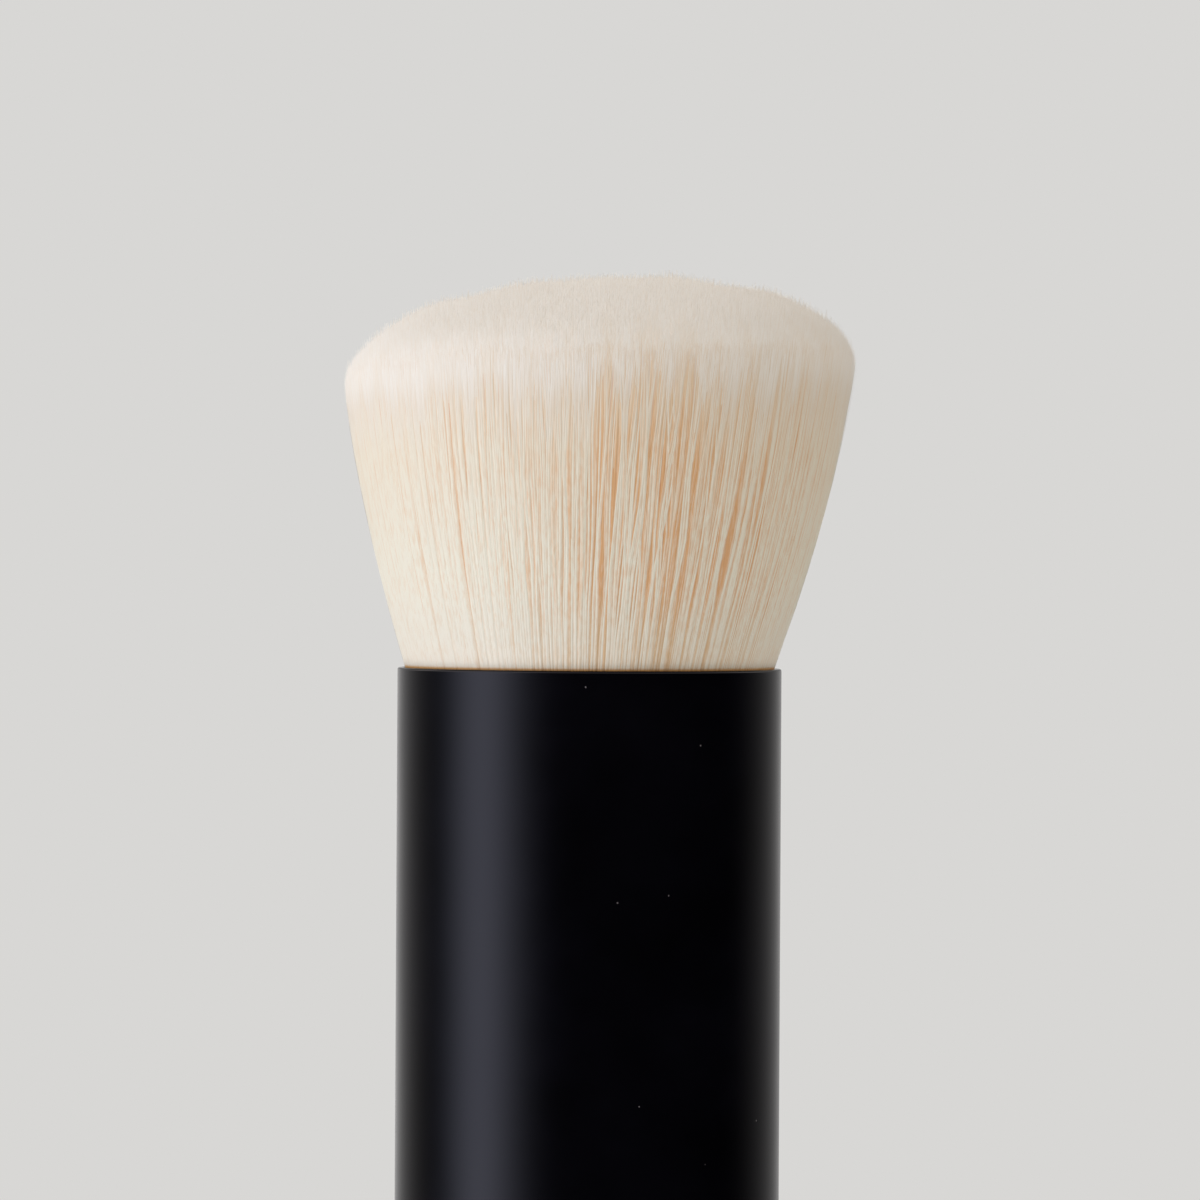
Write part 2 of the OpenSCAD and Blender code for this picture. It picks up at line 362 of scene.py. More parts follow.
@dataclass(frozen=True)
class CastResin(Finish):
    """Epoxy poured round the filament roots and left to set.

    It is glossy and amber, with slow cloudy drifts and a faint skin of ripples.
    """

    name: str = "epoxy_resin_cast_amber"
    clear: str = "#C08A3C"
    cloud: str = "#A06E2A"
    drift_mm: float = 2.2

    def steps(self) -> list[Step]:
        """Clouds the resin and ripples its skin.

        Returns:
            The finish's nodes.
        """
        noise = {"Scale": 1 / self.drift_mm, "Detail": 4.0}
        stops = {"stops": ((0.3, self.cloud), (0.7, self.clear))}
        links = {"Base Color": "tone", "Normal": "bump"}
        return [
            ("drift", "ShaderNodeTexNoise", noise, {"Vector": "place"}),
            ("tone", "ShaderNodeValToRGB", stops, {0: "drift"}),
            ("bump", "ShaderNodeBump", {"Strength": 0.2, "Distance": 0.05 * MM}, {"Height": "drift"}),
            ("shader", "ShaderNodeBsdfPrincipled", {"Roughness": 0.18, "IOR": 1.55}, links),
        ]


@dataclass(frozen=True)
class CottonThread(Finish):
    """Waxed cotton thread wound tight round the roots, one turn beside the next.

    Each turn is a small matte ridge; the darker line where it meets its neighbour is painted shade.
    """

    name: str = "cotton_thread_wound_natural"
    ridge: str = "#E8E2D2"
    groove_shade: str = "#A99F88"
    thread_mm: float = 0.35

    def steps(self) -> list[Step]:
        """Winds the turns up the height of the band.

        Returns:
            The finish's nodes.
        """
        wave = {"bands_direction": "Z", "Scale": WAVE / self.thread_mm, "Distortion": 0.5}
        wave |= {"Detail": 2.0, "Detail Scale": 3.0}
        # The groove between turns is darkened as painted shade
        stops = {"stops": ((0.1, self.groove_shade), (0.5, self.ridge))}
        links = {"Base Color": "tone", "Normal": "bump"}
        return [
            ("turns", "ShaderNodeTexWave", wave, {"Vector": "place"}),
            ("tone", "ShaderNodeValToRGB", stops, {0: "turns.Fac"}),
            ("bump", "ShaderNodeBump", {"Strength": 0.8, "Distance": 0.1 * MM}, {"Height": "turns.Fac"}),
            ("shader", "ShaderNodeBsdfPrincipled", {"Roughness": 0.85, "Sheen Weight": 0.2}, links),
        ]


@dataclass(frozen=True)
class MouldedAbs(Finish):
    """ABS, injection moulded in a tool with a fine spark-eroded texture.

    The texture breaks the gloss into a quiet grey sheen, a little uneven where the melt flowed. Its
    pits are about 0.05 mm wide and are drawn twice as coarse, so that they show.
    """

    name: str = "abs_moulded_black"
    base: str = "#202023"
    flow: str = "#29292C"
    grain_mm: float = 0.12
    flow_mm: float = 6.0
    roughness: float = 0.45

    def steps(self) -> list[Step]:
        """Adds the spark texture and the flow of the melt.

        Returns:
            The finish's nodes.
        """
        noise = {"Scale": 1 / self.flow_mm, "Detail": 3.0}
        stops = {"stops": ((0.35, self.base), (0.7, self.flow))}
        uneven = {"From Min": 0.3, "From Max": 0.7}
        uneven |= {"To Min": self.roughness - 0.05, "To Max": self.roughness + 0.08}
        pits = {"Scale": 1 / self.grain_mm, "Detail": 1.0}
        links = {"Base Color": "tone", "Roughness": "gloss", "Normal": "bump"}
        return [
            ("melt", "ShaderNodeTexNoise", noise, {"Vector": "place"}),
            ("tone", "ShaderNodeValToRGB", stops, {0: "melt"}),
            ("gloss", "ShaderNodeMapRange", uneven, {"Value": "melt"}),
            ("grain", "ShaderNodeTexNoise", pits, {"Vector": "place"}),
            ("bump", "ShaderNodeBump", {"Strength": 0.3, "Distance": 0.02 * MM}, {"Height": "grain"}),
            ("shader", "ShaderNodeBsdfPrincipled", {"IOR": 1.54}, links),
        ]


@dataclass(frozen=True)
class EvaFoam(Finish):
    """Closed-cell EVA foam, cut from sheet.

    The cut opens its cells, so it is dull and peppered with tiny pits, darkened as painted shade.
    """

    name: str = "eva_foam_cut_grey"
    skin: str = "#4A4A4D"
    pit: str = "#232325"
    cell_mm: float = 0.35

    def steps(self) -> list[Step]:
        """Opens the cells of the cut foam.

        Returns:
            The finish's nodes.
        """
        # The pits are darkened as painted shade
        stops = {"stops": ((0.15, self.pit), (0.5, self.skin))}
        links = {"Base Color": "tone", "Normal": "bump"}
        return [
            ("cells", "ShaderNodeTexVoronoi", {"Scale": 1 / self.cell_mm}, {"Vector": "place"}),
            ("tone", "ShaderNodeValToRGB", stops, {0: "cells"}),
            ("bump", "ShaderNodeBump", {"Strength": 0.6, "Distance": 0.1 * MM}, {"Height": "cells"}),
            ("shader", "ShaderNodeBsdfPrincipled", {"Roughness": 0.95}, links),
        ]


@dataclass(frozen=True)
class TurnedSteel(Finish):
    """Mild steel bar, turned on a lathe.

    The tool leaves fine rings that stretch the highlights along the bar.
    """

    name: str = "mild_steel_turned_bare"
    bright: str = "#B9BBBE"
    dull: str = "#8F9195"
    feed_mm: float = 0.25

    def steps(self) -> list[Step]:
        """Cuts the tool's rings along the bar.

        Returns:
            The finish's nodes.
        """
        wave = {"bands_direction": "Z", "Scale": WAVE / self.feed_mm, "Distortion": 0.3, "Detail": 3.0}
        stops = {"stops": ((0.2, self.dull), (0.8, self.bright))}
        links = {"Base Color": "tone", "Normal": "bump"}
        return [
            ("rings", "ShaderNodeTexWave", wave, {"Vector": "place"}),
            ("tone", "ShaderNodeValToRGB", stops, {0: "rings.Fac"}),
            ("bump", "ShaderNodeBump", {"Strength": 0.3, "Distance": 0.03 * MM}, {"Height": "rings.Fac"}),
            ("shader", "ShaderNodeBsdfPrincipled", {"Metallic": 1.0, "Roughness": 0.35}, links),
        ]


@dataclass(frozen=True)
class AdhesiveFilm(Finish):
    """Double-sided adhesive on a fibre tissue.

    It is milky and slightly glossy, and the fibres of the tissue show through as a fine mottle.
    """

    name: str = "tissue_adhesive_milky"
    glue: str = "#DCDAD0"
    fibre: str = "#BDB9AA"
    fibre_mm: float = 0.5

    def steps(self) -> list[Step]:
        """Mottles the film with its fibres.

        Returns:
            The finish's nodes.
        """
        noise = {"Scale": 1 / self.fibre_mm, "Detail": 5.0, "Distortion": 1.5}
        stops = {"stops": ((0.4, self.fibre), (0.6, self.glue))}
        return [
            ("fibres", "ShaderNodeTexNoise", noise, {"Vector": "place"}),
            ("tone", "ShaderNodeValToRGB", stops, {0: "fibres"}),
            ("shader", "ShaderNodeBsdfPrincipled", {"Roughness": 0.3}, {"Base Color": "tone"}),
        ]


def dress_node(node: str, finish: Finish) -> None:
    """Gives a CAD piece its finish in all its slots.

    Args:
        node: The piece's name.
        finish: Its finish.
    """
    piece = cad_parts[node]
    made = finish.material()
    for place in piece.material_slots:
        place.material = made
    if not piece.material_slots:
        piece.data.materials.append(made)
    LOG.info("dressed %s in %s", node, finish.name)


def add_piece(name: str, mesh: bpy.types.Mesh, made: bpy.types.Material) -> bpy.types.Object:
    """Puts a new piece in the scene, riding on the brush.

    Args:
        name: The piece's name.
        mesh: Its mesh, in metres in the shared frame.
        made: Its material.

    Returns:
        The new object.
    """
    piece = bpy.data.objects.new(name, mesh)
    bpy.context.scene.collection.objects.link(piece)
    mesh.materials.clear()
    mesh.materials.append(made)
    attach(piece, BODY)
    LOG.info("built %s with %d faces", name, len(mesh.polygons))
    return piece


@dataclass
class Sway:
    """Smooth random waves through the head, by which filaments lean together and part.

    Args:
        seed: Seeds the waves.
        waves: How many waves are added up.
        around: Fewest and most waves round the head.
        height_mm: Shortest and longest wave along the filaments.
        depth_mm: The depth over which the pattern changes.
        slope: How strongly neighbours crowd and part, as a share of their spacing.
    """

    seed: int
    waves: int
    around: tuple[float, float]
    height_mm: tuple[float, float]
    depth_mm: float
    slope: float

    def field(self, angle: Array, height: Array, depth: Array, radius: float) -> Array:
        """Adds up the waves.

        Args:
            angle: Angles round the head, in radians.
            height: Heights above the rim, in millimetres.
            depth: Depths under the surface, in millimetres.
            radius: The radius at which the slope holds, in millimetres.

        Returns:
            Shifts in millimetres, in the shape of the inputs.
        """
        rng = np.random.default_rng(self.seed)
        total = np.zeros(np.broadcast(angle, height, depth).shape)
        share = self.slope / math.sqrt(self.waves / 2)
        for _ in range(self.waves):
            turns = round(rng.uniform(*self.around))
            rise = math.tau / rng.uniform(*self.height_mm) * rng.choice((-1, 1))
            sink = math.tau / self.depth_mm * rng.uniform(-1, 1)
            phase = rng.uniform(0, math.tau)
            total += share * radius / turns * np.sin(turns * angle + rise * height + sink * depth + phase)
        return total


@dataclass(frozen=True)
class StrandPlan:
    """How one zone of the head is filled with filaments, in millimetres.

    Args:
        zone: The zone that the filaments fill.
        count: How many there are.
        pieces: How many separate pieces they are kept in.
        share: Innermost and outermost place across the head, 0 on its axis and 1 at its side.
        length: Length that is modelled below the tip, or None for the whole filament.
        rings: Rings of points along each filament.
        seed: Seeds their places.
    """

    zone: Zone
    count: int
    pieces: int
    share: tuple[float, float]
    length: float | None
    rings: int
    seed: int


@dataclass
class BristleHead:
    """The dense, flared head of ivory filaments with its soft domed crown.

    Sizes are in millimetres. A share across the head is 0 on its axis and 1 at its side.

    Args:
        throat_r: Radius at the rim.
        widest_r: Radius at the shoulder.
        knot_r: Radius of the roots in their resin.
        knot_depth: Depth of the resin's top below the rim.
        slice_h: Height of the resin that the core takes in.
        shoulder: Height of the shoulder above the rim.
        crown: Height of the dome above the shoulder.
        lean: How far the shoulder leans to one side.
        tilt: How steeply the dome rises to that side.
        bow: How much the side bulges.
        dome_power: How flat the dome's middle is, 2 for an ellipse.
        start: Where whole filaments start, above the rim.
        filament_d: A filament's thickness.
        tip_d: Its thickness at the tip.
        taper: The length over which it thins.
        taper_power: How suddenly it thins.
        crowding: How much closer its points lie near the tip.
        core_share: Place of the core's side across the head.
        core_sink: Depth of the core's dome under the tips.
        twist: Turn of filaments at the side and on the axis, in degrees.
        ridge_share: Height of a filament's section at the side and in the dome.
        round_share: How much of its roundness shows at the side and in the dome.
        shade_depth: How soon side and dome rule the shading.
        parting: Bearing of the widest partings, in degrees.
        parting_share: How freely filaments part, and how much more at the parting.
        wander: How far filaments stray out and sideways.
        stray_share: The share of them that strays more.
        stray_reach: How many times as far these go.
        short_share: How much shorter the crown's outer filaments are.
        short_parting: How much shorter still at the parting.
        lobe_seed: Seeds the lobes of pale tips.
        lobe_share: Their strength, and how much more at the parting.
        lobe_shift: How far they shift the colours.
        thick_range: Thinnest and thickest filament, as shares of the usual.
        crown_tone: Middle and spread of the crown's tones.
        side_tone: Middle of the side's tones, and its change at the parting, partly painted shade.
        side_spread: Their spread, and its change there.
        side_depth: Depth at which they turn to the deep tones of painted shade, and its change there.
        tip_seed: Seeds the unevenness of the tips.
        tip_drop: Depth of the tips under the envelope.
        tip_reach: Usual and greatest height of a tip above that.
        tones: How many tones the filaments' map holds.
        plans: How each zone is filled.
        finish: The filaments' finish.
        mass: The core's finish.
    """

    throat_r: float = 11.5
    widest_r: float = 15.95
    knot_r: float = 10.2
    knot_depth: float = 6.0
    slice_h: float = 1.2
    shoulder: float = 18.3
    crown: float = 6.2
    lean: float = 0.55
    tilt: float = 0.04
    bow: float = 0.42
    dome_power: float = 2.2
    start: float = -2.5
    filament_d: float = 0.13
    tip_d: float = 0.015
    taper: float = 5.0
    taper_power: float = 0.8
    crowding: float = 1.15
    core_share: float = 0.967
    core_sink: float = 1.2
    twist: tuple[float, float] = (5.0, 45.0)
    ridge_share: tuple[float, float] = (0.07, 0.6)
    round_share: tuple[float, float] = (0.35, 0.6)
    shade_depth: tuple[float, float] = (0.4, 0.2)
    parting: float = -69.0
    parting_share: tuple[float, float] = (0.3, 0.9)
    wander: tuple[float, float] = (0.04, 0.09)
    stray_share: float = 0.02
    stray_reach: float = 3.0
    short_share: float = 0.4
    short_parting: float = 0.4
    lobe_seed: int = 31
    lobe_share: tuple[float, float] = (0.35, 0.65)
    lobe_shift: float = 0.05
    thick_range: tuple[float, float] = (0.85, 1.2)
    crown_tone: tuple[float, float] = (0.85, 0.17)
    side_tone: tuple[float, float] = (1.27, -0.36)
    side_spread: tuple[float, float] = (0.17, 0.14)
    side_depth: tuple[float, float] = (0.55, -0.33)
    tip_seed: int = 21
    tip_drop: float = 0.53
    tip_reach: tuple[float, float] = (0.12, 0.65)
    tones: int = 32
    plans: tuple[StrandPlan, ...] = (
        StrandPlan(Zone.SIDE, 5200, 3, (0.972, 1.0), None, 12, 11),
        StrandPlan(Zone.CROWN, 120000, 13, (0.0, 1.0), 4.2, 4, 12),
    )
    finish: TaperedFilament = TaperedFilament()
    mass: FilamentMass = FilamentMass()

    def __post_init__(self) -> None:
        """Takes the rim's height from the frame."""
        self.rim_z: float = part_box("barrel_shell")[1].z / MM
        self.lean_waves = Sway(3, 64, (60, 250), (7.0, 24.0), 0.9, 0.6)
        self.bulge_waves = Sway(4, 40, (30, 110), (10.0, 30.0), 1.5, 0.05)

    def lane(self, share: Array, height: Array) -> Array:
        """Gives a filament's distance from the axis.

        Args:
            share: Its place across the head, from 0 to 1.
            height: Heights above the rim.

        Returns:
            Radii, in the shape of the inputs.
        """
        up = np.maximum(height, 0.0) / self.shoulder
        flare = (self.widest_r - self.throat_r) * ((1 + self.bow) * up - self.bow * up * up)
        neck = (self.throat_r - self.knot_r) * np.minimum(height, 0.0) / self.knot_depth
        return share * (self.throat_r + flare + neck)

    def tip_height(self, share: Array) -> Array:
        """Gives the height of the domed envelope above a place across the head."""
        return self.shoulder + self.crown * np.sqrt(np.maximum(1 - share**self.dome_power, 0.0))

    def place(self, radius: Array, angle: Array, height: Array) -> Array:
        """Turns head coordinates into points of the shared frame.

        Args:
            radius: Distances from the axis.
            angle: Angles round it, in radians.
            height: Heights above the rim.

        Returns:
            Points in millimetres, with x, y and z last.
        """
        shift = self.lean * np.maximum(height, 0.0) / self.shoulder
        east = radius * np.cos(angle)
        rise = self.tilt * east * smooth(height, 0.5 * self.shoulder, self.shoulder)
        return np.stack((east + shift, radius * np.sin(angle), height + rise + self.rim_z), axis=-1)

    def lines(self, plan: StrandPlan) -> tuple[Array, ...]:
        """Lays the centre lines of one zone's filaments.

        Args:
            plan: The zone's plan.

        Returns:
            Points, thicknesses, the way that the head faces there, a turn and a tone each, and how far
            each point is along the way from the rim to the tip.
        """
        rng = np.random.default_rng(plan.seed)
        low, high = plan.share
        share = np.sqrt(low**2 + (high**2 - low**2) * rng.random(plan.count))[:, None]
        angle = rng.uniform(0, math.tau, (plan.count, 1))
        depth = (1 - share) * self.widest_r
        tip = self.tip_height(share) + self.tip_scatter(share, angle, rng)
        step = np.linspace(0, 1, plan.rings)[None, :]
        parted = np.maximum(np.cos(angle - math.radians(self.parting)), 0.0) ** 3
        around, more = self.lobe_share
        lobes = self.lobes(angle) * smooth(share, 0.75, 1.0) * (around + more * parted)
        if plan.length is None:
            foot = np.full_like(tip, self.start)
            swell = np.ones_like(step)
        else:
            short = self.short_share * smooth(share, 0.85, 1.0) * (1 + self.short_parting * parted - lobes)
            foot = tip - plan.length * (1 - short)
            swell = smooth(step, -0.3, 0.4)
        height = foot + (tip - foot) * (1 - (1 - step) ** self.crowding)
        radius = self.lane(share, height)

        # Filaments lean together and part, a few stray, and those near the axis stand still
        loose = smooth(height, 0.3, 6.0)
        around, more = self.parting_share
        apart = loose * (around + more * parted)
        across = self.lean_waves.field(angle, height, depth, self.widest_r) * apart
        out = self.bulge_waves.field(angle, height, depth, self.widest_r) * loose
        wander = rng.normal(0, 1, (plan.count, 2, 1)) * np.array(self.wander)[:, None]
        wander = wander * smooth(height, 0.0, self.shoulder)[:, None, :]
        stray = rng.random((plan.count, 1)) < self.stray_share
        wander = wander * np.where(stray, self.stray_reach, 1.0)[:, :, None]
        inward = np.minimum(out, 0.0) + 0.5 * np.maximum(out, 0.0)
        still = np.minimum(1.0, share / 0.5)
        radius = radius + (inward + wander[:, 0]) * still
        turned = angle + (across + wander[:, 1]) / np.maximum(radius, 2.0) * still

        # Each filament thins toward its tip, and has a tone of its own; at the side, deeper filaments get
        # deeper tones, which is painted shade
        thinning = np.clip((tip - height) / self.taper, 0, 1) ** self.taper_power
        thick = self.tip_d + (self.filament_d - self.tip_d) * thinning
        thick = thick * swell * rng.uniform(*self.thick_range, (plan.count, 1))
        along = height / tip
        along = np.minimum(along + self.lobe_shift * lobes * smooth(along, 0.5, 0.8), 1.0)
        if plan.zone is Zone.CROWN:
            middle, spread = self.crown_tone
            tone = np.clip(middle + rng.normal(0, spread, plan.count), 0, 1)
        else:
            # At the parting, which the key light only grazes, the tones deepen further; this is partly
            # painted shade
            parted = parted[:, 0]
            reach, middle, spread = (
                first + more * parted
                for first, more in (self.side_depth, self.side_tone, self.side_spread)
            )
            tone = np.clip(middle - depth[:, 0] / reach + rng.normal(0, 1, plan.count) * spread, 0, 1)
        outer, inner = self.twist
        twist = inner + (outer - inner) * smooth(share, 0.7, 0.93)
        spin = np.radians(twist * rng.uniform(-1, 1, (plan.count, 1)))
        faces = self.facing(share, turned, height, tip)
        return self.place(radius, turned, height), thick, faces, spin, tone, along

    def facing(self, share: Array, angle: Array, height: Array, tip: Array) -> Array:
        """Tells which way the head's surface faces nearest to places on its filaments.

        Args:
            share: Places across the head.
            angle: Angles round it, in radians.
            height: Heights above the rim.
            tip: Heights of the filaments' tips.

        Returns:
            Unit vectors, outward at the side and more and more upward near the dome.
        """
        fall = self.crown * self.dome_power * share ** (self.dome_power - 1) / (2 * self.widest_r)
        slope = np.arctan(fall / np.sqrt(np.maximum(1 - share**self.dome_power, 0.15)))
        up = np.clip(height / self.shoulder, 0.0, 1.0)
        spread = (self.widest_r - self.throat_r) / self.shoulder * (1 + self.bow - 2 * self.bow * up)
        # The rim pinches the mass, so its first millimetre swells straight out
        flare = np.arctan(spread) * smooth(height, 0.0, 1.0)
        side_depth, dome_depth = self.shade_depth
        by_side = 1 / ((1 - share) * self.widest_r + side_depth)
        by_dome = 1 / ((tip - height) * np.cos(slope) + dome_depth)
        outward = by_side * np.cos(flare) + by_dome * np.sin(slope)
        upward = by_dome * np.cos(slope) - by_side * np.sin(flare)
        ways = np.stack((outward * np.cos(angle), outward * np.sin(angle), upward), axis=-1)
        return ways / np.linalg.norm(ways, axis=-1, keepdims=True)

    def lobes(self, angle: Array) -> Array:
        """Tells how far the pale tips reach down the side.

        Args:
            angle: Angles round the head, in radians.

        Returns:
            Shares from -1 to 1.
        """
        waves, peak = 12, 3.5
        rng = np.random.default_rng(self.lobe_seed)
        total = np.zeros_like(angle)
        for turns in rng.integers(5, 60, waves):
            total += np.sin(turns * angle + rng.uniform(0, math.tau))
        return np.clip(total / peak, -1.0, 1.0)

    def tip_scatter(self, share: Array, angle: Array, rng: np.random.Generator) -> Array:
        """Gives each tip its own small height above or below the envelope.

        Args:
            share: Places across the head.
            angle: Angles round it.
            rng: The zone's random numbers.

        Returns:
            Heights in millimetres.
        """
        east = share * self.widest_r * np.cos(angle)
        north = share * self.widest_r * np.sin(angle)
        waves = np.random.default_rng(self.tip_seed)
        bumps = np.zeros_like(share)
        for length, size in ((7.0, 0.05), (5.0, 0.04), (2.2, 0.02), (1.4, 0.01)):
            for _ in range(5):
                way = waves.uniform(0, math.tau)
                turn = math.tau / length * (east * math.cos(way) + north * math.sin(way))
                bumps += size * np.sin(turn + waves.uniform(0, math.tau))
        usual, most = self.tip_reach
        return bumps - self.tip_drop + np.minimum(rng.exponential(usual, share.shape), most)

    def mesh(
        self, name: str, points: Array, thick: Array, faces: Array, spin: Array, tone: Array, along: Array
    ) -> bpy.types.Mesh:
        """Makes closed three-sided filaments round their centre lines.

        The head scatters light as one soft mass, so its filaments are shaded mostly by the way that
        the head faces, which keeps their far sides from going dark. A filament at the side is a low
        ridge, because only its outer face is seen, and one in the dome has a fuller section.

        Args:
            name: The mesh's name.
            points: Centre points, filament by filament, in millimetres.
            thick: Thickness at each point.
            faces: The way that the head faces at each point.
            spin: How far each filament is turned from facing outward, in radians.
            tone: One tone for each filament, 0 deep and 1 on the surface.
            along: How far each point is along the way from the rim, at 0, to the tip, at 1.

        Returns:
            The mesh, with the map that the filament finish reads.
        """
        count, rings = thick.shape
        way = points[:, -1] - points[:, 0]
        way /= np.linalg.norm(way, axis=1, keepdims=True)
        out = points[:, rings // 2] * np.array((1.0, 1.0, 0.0))
        out = np.cos(spin) * out + np.sin(spin) * np.cross(np.array((0.0, 0.0, 1.0)), out)
        side = np.cross(way, out)
        side /= np.linalg.norm(side, axis=1, keepdims=True)
        front = np.cross(side, way)
        turn = (np.array((0.25, 0.25 + 1 / 3, 0.25 + 2 / 3)) * math.tau)[:, None]
        across, ridge = -np.cos(turn) * side[:, None], np.sin(turn) * front[:, None]
        upright = smooth(faces[:, -1, 2], 0.35, 0.9)[:, None, None]
        flat, full = self.ridge_share
        spoke = across + (flat + (full - flat) * upright) * ridge
        corner = points[:, :, None] + 0.5 * thick[..., None, None] * spoke[:, None]
        first = (np.arange(count) * rings * 3)[:, None]
        here, there = np.arange(3), np.array((1, 2, 0))
        low = first[..., None] + (np.arange(rings - 1) * 3)[:, None]
        quads = np.stack((low + here, low + there, low + 3 + there, low + 3 + here), -1)
        foot, head = first + np.array((0, 2, 1)), first + (rings - 1) * 3 + here
        loops = np.concatenate((quads.reshape(-1), foot.reshape(-1), head.reshape(-1)))
        quad_count, cap_count = quads.size // 4, 2 * count
        starts = np.concatenate((np.arange(quad_count) * 4, quad_count * 4 + np.arange(cap_count) * 3))

        # The map's columns are tones, and its rows the way along; a cap is a small triangle there
        cap = np.array((0.0, 0.0, 0.02))
        column = np.floor(np.clip(tone, 0, 0.9999) * self.tones)
        left, right = (column + 0.05) / self.tones, (column + 0.95) / self.tones
        low, high = along[:, :-1, None], along[:, 1:, None]
        shape = (count, rings - 1, 3)
        u = np.stack([np.broadcast_to(v[:, None, None], shape) for v in (left, right, right, left)], -1)
        v = np.stack([np.broadcast_to(w, shape) for w in (low, low, high, high)], -1)
        cap_u = np.stack((left, right, (left + right) / 2), -1)
        foot_v, head_v = along[:, :1] + cap, along[:, -1:] - cap
        uv_u = np.concatenate((u.reshape(-1), cap_u.reshape(-1), cap_u.reshape(-1)))
        uv_v = np.concatenate((v.reshape(-1), foot_v.reshape(-1), head_v.reshape(-1)))

        made = bpy.data.meshes.new(name)
        made.vertices.add(count * rings * 3)
        made.vertices.foreach_set("co", (corner * MM).reshape(-1).astype(np.float32))
        made.loops.add(len(loops))
        made.loops.foreach_set("vertex_index", loops.astype(np.int32))
        made.polygons.add(len(starts))
        made.polygons.foreach_set("loop_start", starts.astype(np.int32))
        made.update(calc_edges=True)
        low_round, high_round = self.round_share
        own = (low_round + (high_round - low_round) * upright) * (across + ridge)
        shading = faces[:, :, None] + own[:, None]
        shading /= np.linalg.norm(shading, axis=-1, keepdims=True)
        normals = made.attributes.new("custom_normal", "FLOAT_VECTOR", "POINT")
        normals.data.foreach_set("vector", shading.reshape(-1).astype(np.float32))
        layer = made.uv_layers.new(name=FILAMENT_MAP)
        layer.data.foreach_set("uv", np.stack((uv_u, uv_v), -1).reshape(-1).astype(np.float32))
        return made

    def core(self) -> bpy.types.Mesh:
        """Makes the closed mass of packed filaments under the outer ones.

        Returns:
            The mesh, from the slice of resin at the roots to just under the crown.
        """
        around = 180
        foot = -self.knot_depth - self.slice_h
        heights = np.concatenate(((foot, -self.knot_depth), np.linspace(-4.5, self.shoulder, 24)))
        side = self.core_share + (1 - self.core_share) * smooth(-heights, 0.5, self.knot_depth)
        radii = np.where(heights <= -self.knot_depth, self.knot_r, self.lane(side, heights))
        share = self.core_share * np.cos(np.linspace(0, math.pi / 2, 20))
        arch_h = np.maximum(self.tip_height(share) - self.core_sink, self.shoulder + 0.05)
        arch_r = self.lane(share, arch_h)
        heights = np.concatenate((heights, arch_h[1:-1]))[:, None]
        radii = np.concatenate((radii, arch_r[1:-1]))[:, None]
        turn = np.linspace(0, math.tau, around, endpoint=False)[None, :]
        rows = len(heights)
        points = self.place(radii, turn, np.broadcast_to(heights, (rows, around)))
        verts = [tuple(p) for p in (points.reshape(-1, 3) * MM)]
        shift = self.lean * heights[-1, 0] / self.shoulder
        top = self.tip_height(np.array(0.0)) - self.core_sink
        verts.append((0.0, 0.0, (foot + self.rim_z) * MM))
        verts.append((shift * MM, 0.0, (top + self.rim_z) * MM))
        pairs = neighbours(around)
        last = (rows - 1) * around
        faces = [
            (low + i, low + j, low + around + j, low + around + i)
            for low in range(0, last, around)
            for i, j in pairs
        ]
        faces += [(j, i, last + around) for i, j in pairs]
        faces += [(last + i, last + j, last + around + 1) for i, j in pairs]
        made = bpy.data.meshes.new("filament_core")
        made.from_pydata(verts, [], faces)
        made.shade_smooth()
        return made

    def build(self) -> None:
        """Builds the core and every zone's filaments, in place of the plain bristle solid."""
        core = add_piece("filament_core", self.core(), self.mass.material())
        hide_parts("bristles")
        coat = self.finish.material()
        for plan in self.plans:
            laid = self.lines(plan)
            for part, chosen in enumerate(np.array_split(np.arange(plan.count), plan.pieces), 1):
                name = f"filaments_{plan.zone.value}_{part}"
                mesh = self.mesh(name, *(values[chosen] for values in laid))
                strands = add_piece(name, mesh, coat)
                # Light passes through real filaments, so these take no shade from one another.
                strands.visible_shadow = False
                strands.visible_diffuse = False


@dataclass
class Barrel:
    """The thin drawn tube, open at the rim and closed by the plug at its foot."""

    shell: AnodisedAluminium = AnodisedAluminium()

    def build(self) -> None:
        """Dresses the tube."""
        dress_node("barrel_shell", self.shell)


@dataclass
class Knot:
    """The cast roots of the head, their binding and the glue that holds them in the socket."""

    resin: CastResin = CastResin()
    glue: CastResin = CastResin(
        name="epoxy_glue_set_honey", clear="#C9A25C", cloud="#B08A48", drift_mm=3.0
    )
    thread: CottonThread = CottonThread()

    def build(self) -> None:
        """Dresses the knot's pieces."""
        dress_node("knot_resin", self.resin)
        dress_node("socket_glue", self.glue)
        dress_node("knot_thread", self.thread)


@dataclass
class Core:
    """The moulded socket and liner inside the tube, with the padded steel weight."""

    moulding: MouldedAbs = MouldedAbs(name="abs_moulded_grey", base="#3C3C3F", flow="#47474A")
    foam: EvaFoam = EvaFoam()
    steel: TurnedSteel = TurnedSteel()

    def build(self) -> None:
        """Dresses the inner pieces."""
        for node in ("socket_cup", "core_tube"):
            dress_node(node, self.moulding)
        for node in ("upper_pad", "lower_pad"):
            dress_node(node, self.foam)
        dress_node("weight_slug", self.steel)


@dataclass
class Foot:
    """The snap plug that the brush stands on, with its blank inlay."""

    plug: MouldedAbs = MouldedAbs()
    tape: AdhesiveFilm = AdhesiveFilm()
    inlay: AnodisedAluminium = AnodisedAluminium(
        name="anodised_aluminium_turned_black", grain_mm=0.25, lay=Lay.TURNED
    )

    def build(self) -> None:
        """Dresses the foot's pieces."""
        dress_node("base_plug", self.plug)
        dress_node("base_tape", self.tape)
        dress_node("base_disc", self.inlay)


